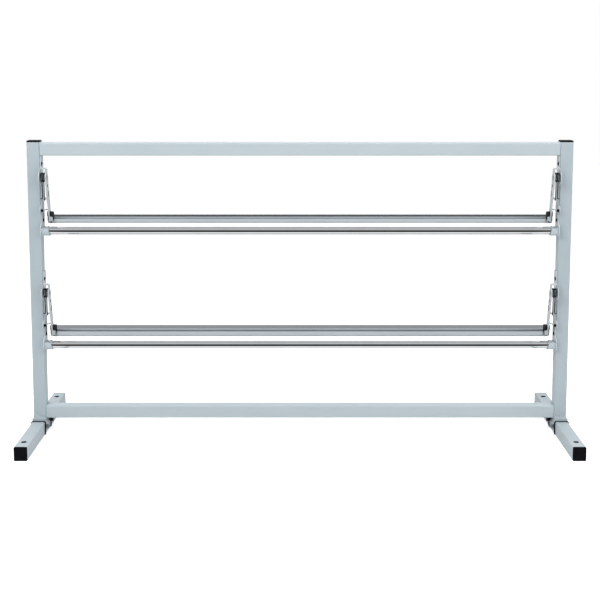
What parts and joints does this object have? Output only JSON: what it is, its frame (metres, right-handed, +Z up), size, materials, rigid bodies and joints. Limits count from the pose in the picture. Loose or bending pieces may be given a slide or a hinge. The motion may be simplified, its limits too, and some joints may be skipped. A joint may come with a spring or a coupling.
{
  "type": "paper roll stand",
  "caption": "Bench stand with paper roll shafts one above the other in open cradles, each with a spring-loaded swinging cutter bar, on a square-tube frame.",
  "frame": {"origin": "on the bench top under the middle of the stand, midway between the posts and midway along the feet", "axes": "+X to the right along the roll shafts, +Y from the camera's side to the back, +Z up"},
  "size_m": [1.275, 0.45, 0.698],
  "materials": {
    "painted_steel": "satin light grey-blue paint",
    "black_plastic": "matte",
    "zinc_steel": "zinc plated",
    "bright_steel": "brushed",
    "spring_steel": "oiled dark",
    "rubber": "matte",
    "chrome": "polished",
    "aluminium": "anodised satin"
  },
  "bodies": {
    "frame": {"post_left": "painted_steel", "post_right": "painted_steel", "rail_top": "painted_steel", "rail_bottom": "painted_steel", "foot_base_left": "painted_steel", "foot_base_right": "painted_steel", "foot_front_left": "painted_steel", "foot_front_right": "painted_steel", "foot_rear_left": "painted_steel", "foot_rear_right": "painted_steel", "post_cap_left": "black_plastic", "post_cap_right": "black_plastic", "foot_cap_front_left": "black_plastic", "foot_cap_front_right": "black_plastic", "foot_cap_rear_left": "black_plastic", "foot_cap_rear_right": "black_plastic", "foot_knob_left": "black_plastic", "foot_knob_right": "black_plastic", "foot_nut_left": "zinc_steel", "foot_nut_right": "zinc_steel", "foot_collar_left": "rubber", "foot_collar_right": "rubber", "upper_plate_left": "painted_steel", "upper_plate_right": "painted_steel", "upper_cradle_left": "painted_steel", "upper_cradle_right": "painted_steel", "upper_pivot_pin_left": "zinc_steel", "upper_pivot_pin_right": "zinc_steel", "upper_spring_left": "spring_steel", "upper_spring_right": "spring_steel", "upper_stop_left": "rubber", "upper_stop_right": "rubber", "lower_plate_left": "painted_steel", "lower_plate_right": "painted_steel", "lower_cradle_left": "painted_steel", "lower_cradle_right": "painted_steel", "lower_pivot_pin_left": "zinc_steel", "lower_pivot_pin_right": "zinc_steel", "lower_spring_left": "spring_steel", "lower_spring_right": "spring_steel", "lower_stop_left": "rubber", "lower_stop_right": "rubber"},
    "upper_cutter": {"upper_arm_left": "bright_steel", "upper_arm_right": "bright_steel", "upper_bar_end_left": "black_plastic", "upper_bar_end_right": "black_plastic", "upper_bar": "aluminium", "upper_blade": "bright_steel"},
    "upper_journals": {"upper_journal_left": "chrome", "upper_journal_right": "chrome"},
    "upper_roll_shaft": {"upper_shaft": "chrome"},
    "lower_cutter": {"lower_arm_left": "bright_steel", "lower_arm_right": "bright_steel", "lower_bar_end_left": "black_plastic", "lower_bar_end_right": "black_plastic", "lower_bar": "aluminium", "lower_blade": "bright_steel"},
    "lower_journals": {"lower_journal_left": "chrome", "lower_journal_right": "chrome"},
    "lower_roll_shaft": {"lower_shaft": "chrome"}
  },
  "joints": [
    {"name": "upper_cutter_swing", "type": "hinge", "parent": "frame", "child": "upper_cutter", "pos_m": [0, -0.027, 0.6133], "axis": [1, 0, 0], "range_deg": [0, 60], "stiffness_Nm_per_rad": 1.4, "springref_deg": -40.11, "deforming": ["upper_spring_left", "upper_spring_right"]},
    {"name": "upper_shaft_lift", "type": "slide", "parent": "frame", "child": "upper_journals", "axis": [0, 0, 1], "range_m": [0, 0.022]},
    {"name": "upper_shaft_spin", "type": "hinge", "parent": "upper_journals", "child": "upper_roll_shaft", "pos_m": [0, -0.017, 0.4875], "axis": [1, 0, 0], "continuous": true},
    {"name": "lower_cutter_swing", "type": "hinge", "parent": "frame", "child": "lower_cutter", "pos_m": [0, -0.027, 0.3413], "axis": [1, 0, 0], "range_deg": [0, 60], "stiffness_Nm_per_rad": 1.4, "springref_deg": -40.11, "deforming": ["lower_spring_left", "lower_spring_right"]},
    {"name": "lower_shaft_lift", "type": "slide", "parent": "frame", "child": "lower_journals", "axis": [0, 0, 1], "range_m": [0, 0.022]},
    {"name": "lower_shaft_spin", "type": "hinge", "parent": "lower_journals", "child": "lower_roll_shaft", "pos_m": [0, -0.017, 0.2155], "axis": [1, 0, 0], "continuous": true}
  ]
}
